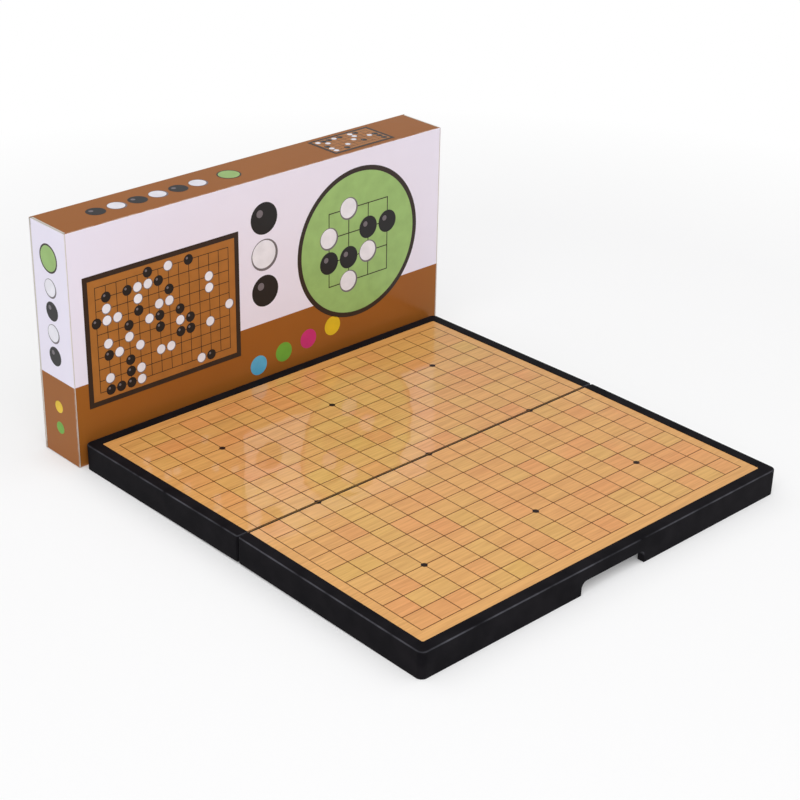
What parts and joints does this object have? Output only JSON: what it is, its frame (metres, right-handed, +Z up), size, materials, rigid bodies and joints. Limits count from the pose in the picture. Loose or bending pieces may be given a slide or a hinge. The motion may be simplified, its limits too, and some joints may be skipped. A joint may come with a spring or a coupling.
{
  "type": "magnetic folding go set",
  "caption": "Open folding magnetic go board in hinged black trays with a bamboo-look grid, stone bags in the hollows, and its tuck-end carton standing behind.",
  "frame": {"origin": "on the table, under the middle of the open board and its carton together", "axes": "+X along the fold, +Y from the fold towards the carton, +Z up"},
  "size_m": [0.377, 0.4214, 0.192],
  "materials": {
    "black_plastic": "fine-textured moulded black plastic",
    "steel": "thin sheet steel, zinc coated",
    "steel_pin": "drawn steel wire",
    "printed_film": "semi-gloss film printed with bamboo parquet and a 19 by 19 grid",
    "magnet": "nickel-plated disc magnet",
    "black_stones": "black plastic stones in a clear bag",
    "white_stones": "white plastic stones in a clear bag",
    "carton_card": "coated card with a gloss print"
  },
  "bodies": {
    "carton": {"carton_sleeve": "carton_card"},
    "front_half": {"front_tray": "black_plastic", "front_steel_sheet": "steel", "front_grid_print": "printed_film", "front_closure_magnets": "magnet", "hinge_pins": "steel_pin", "black_stone_bag": "black_stones"},
    "rear_half": {"rear_tray": "black_plastic", "rear_steel_sheet": "steel", "rear_grid_print": "printed_film", "rear_closure_magnets": "magnet", "white_stone_bag": "white_stones"},
    "left_end": {"left_end_flap": "carton_card", "left_tuck_tongue": "carton_card"},
    "left_upper_dust": {"left_upper_dust_flap": "carton_card"},
    "left_lower_dust": {"left_lower_dust_flap": "carton_card"},
    "right_end": {"right_end_flap": "carton_card", "right_tuck_tongue": "carton_card"},
    "right_upper_dust": {"right_upper_dust_flap": "carton_card"},
    "right_lower_dust": {"right_lower_dust_flap": "carton_card"}
  },
  "joints": [
    {"name": "fold", "type": "hinge", "parent": "front_half", "child": "rear_half", "pos_m": [0, -0.024, 0.0017], "axis": [-1, 0, 0], "range_deg": [0, 178.89]},
    {"name": "board_tip", "type": "hinge", "parent": "carton", "child": "front_half", "pos_m": [0, -0.21049, 0], "axis": [1, 0, 0], "range_deg": [0, 89.45]},
    {"name": "left_end_fold", "type": "hinge", "parent": "carton", "child": "left_end", "pos_m": [-0.1885, 0.16468, 0.096], "axis": [0, 0, 1], "range_deg": [0, 100]},
    {"name": "left_upper_dust_fold", "type": "hinge", "parent": "carton", "child": "left_upper_dust", "pos_m": [-0.18735, 0.18768, 0.192], "axis": [0, 1, 0], "range_deg": [0, 90]},
    {"name": "left_lower_dust_fold", "type": "hinge", "parent": "carton", "child": "left_lower_dust", "pos_m": [-0.18735, 0.18768, 0], "axis": [0, -1, 0], "range_deg": [0, 90]},
    {"name": "right_end_fold", "type": "hinge", "parent": "carton", "child": "right_end", "pos_m": [0.1885, 0.16468, 0.096], "axis": [0, 0, -1], "range_deg": [0, 100]},
    {"name": "right_upper_dust_fold", "type": "hinge", "parent": "carton", "child": "right_upper_dust", "pos_m": [0.18735, 0.18768, 0.192], "axis": [0, -1, 0], "range_deg": [0, 90]},
    {"name": "right_lower_dust_fold", "type": "hinge", "parent": "carton", "child": "right_lower_dust", "pos_m": [0.18735, 0.18768, 0], "axis": [0, 1, 0], "range_deg": [0, 90]}
  ],
  "couplings": [
    {"joint": "board_tip", "follows": "fold", "ratio": 0.5},
    {"joint": "left_upper_dust_fold", "follows": "left_end_fold", "ratio": 0.9},
    {"joint": "left_lower_dust_fold", "follows": "left_end_fold", "ratio": 0.9},
    {"joint": "right_upper_dust_fold", "follows": "right_end_fold", "ratio": 0.9},
    {"joint": "right_lower_dust_fold", "follows": "right_end_fold", "ratio": 0.9}
  ]
}
